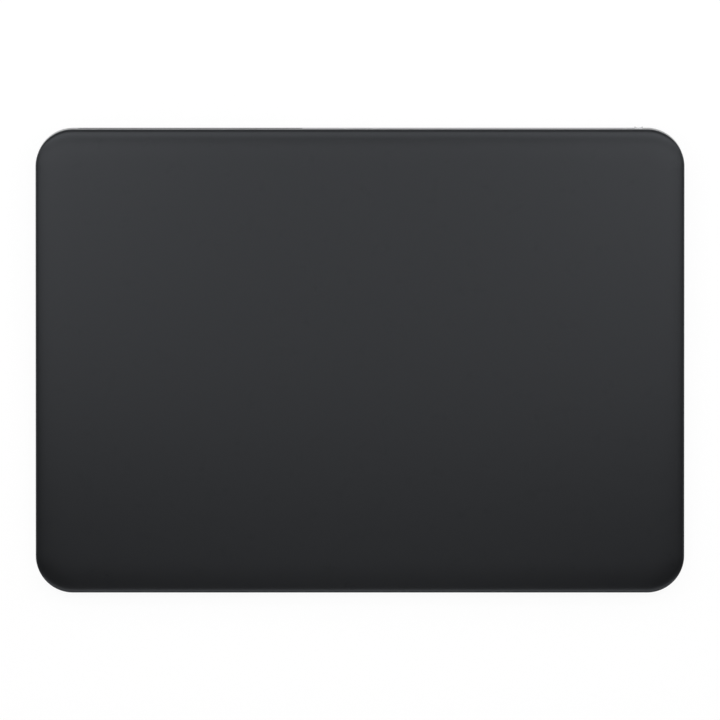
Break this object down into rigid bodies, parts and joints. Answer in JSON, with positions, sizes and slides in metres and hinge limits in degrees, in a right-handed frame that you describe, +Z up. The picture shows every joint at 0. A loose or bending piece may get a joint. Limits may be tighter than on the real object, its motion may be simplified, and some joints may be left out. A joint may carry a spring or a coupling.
{
  "type": "desktop trackpad",
  "caption": "Wedge-shaped desktop trackpad with a black satin glass touch plate on an aluminium tray, a power switch, a charging socket and an antenna window at the back.",
  "frame": {"origin": "on the desk, under the middle of the pad's outline", "axes": "+X to the user's right, +Y away from the user to the back wall, +Z up out of the desk"},
  "size_m": [0.16, 0.115, 0.0109],
  "materials": {
    "aluminium": "bead-blasted and anodised, silver",
    "cover_glass": "black, satin-etched",
    "window_plastic": "dark grey, smooth",
    "base_plastic": "grey, fine texture",
    "foot_rubber": "dark grey, matt",
    "knob_plastic": "silver grey, satin",
    "indicator_green": "green film",
    "adhesive": "pale film",
    "circuit_board": "green solder mask, satin",
    "chip_plastic": "black, matt",
    "sheet_steel": "rolled, satin",
    "spring_steel": "rolled, satin",
    "screw_steel": "dark plated",
    "core_iron": "stacked sheets, satin",
    "copper": "bright copper",
    "gel": "clear grey gel",
    "flex_circuit": "amber film",
    "battery_foil": "dark foil wrap",
    "connector_plastic": "ivory, matt",
    "black_plastic": "black, matt"
  },
  "bodies": {
    "case": {"housing": "aluminium", "antenna_window": "window_plastic", "base_plate": "base_plastic", "feet": "foot_rubber", "base_adhesive": "adhesive", "battery_adhesive": "adhesive", "logic_board": "circuit_board", "battery_circuit": "circuit_board", "switch_board": "circuit_board", "logic_chips": "chip_plastic", "haptic_bracket": "sheet_steel", "logic_shield": "sheet_steel", "socket_shell": "sheet_steel", "switch_body": "sheet_steel", "flexure_front_left": "spring_steel", "flexure_front_right": "spring_steel", "flexure_back_left": "spring_steel", "flexure_back_right": "spring_steel", "flexure_screws": "screw_steel", "haptic_screws": "screw_steel", "board_screws": "screw_steel", "switch_screws": "screw_steel", "haptic_core": "core_iron", "haptic_coils": "copper", "antenna_foil": "copper", "socket_contacts": "copper", "strain_gauges": "flex_circuit", "gauge_leads": "flex_circuit", "haptic_lead": "flex_circuit", "battery_lead": "flex_circuit", "touch_lead": "flex_circuit", "switch_lead": "flex_circuit", "battery_cell": "battery_foil", "logic_connectors": "connector_plastic", "antenna_carrier": "black_plastic", "antenna_lead": "black_plastic", "socket_tongue": "black_plastic"},
    "suspension": {"gel_pads": "gel"},
    "touch_plate": {"cover_glass": "cover_glass", "bonding_film": "adhesive", "sensor_board": "circuit_board", "touch_chips": "chip_plastic", "stiffener": "sheet_steel", "armature_left": "core_iron", "armature_right": "core_iron"},
    "switch_slider": {"switch_knob": "knob_plastic", "switch_indicator": "indicator_green", "switch_lever": "black_plastic"}
  },
  "joints": [
    {"name": "touch_press", "type": "slide", "parent": "case", "child": "suspension", "axis": [0, 0.0524, -0.9986], "range_m": [0, 0.00025], "stiffness_N_per_m": 4000, "springref_m": -0.0005, "deforming": ["flexure_front_left", "flexure_front_right", "flexure_back_left", "flexure_back_right", "touch_lead"]},
    {"name": "haptic_shift", "type": "slide", "parent": "suspension", "child": "touch_plate", "axis": [1, 0, 0], "range_m": [-0.00015, 0.00015], "stiffness_N_per_m": 6000},
    {"name": "power_slide", "type": "slide", "parent": "case", "child": "switch_slider", "axis": [-1, 0, 0], "range_m": [0, 0.0025]}
  ]
}
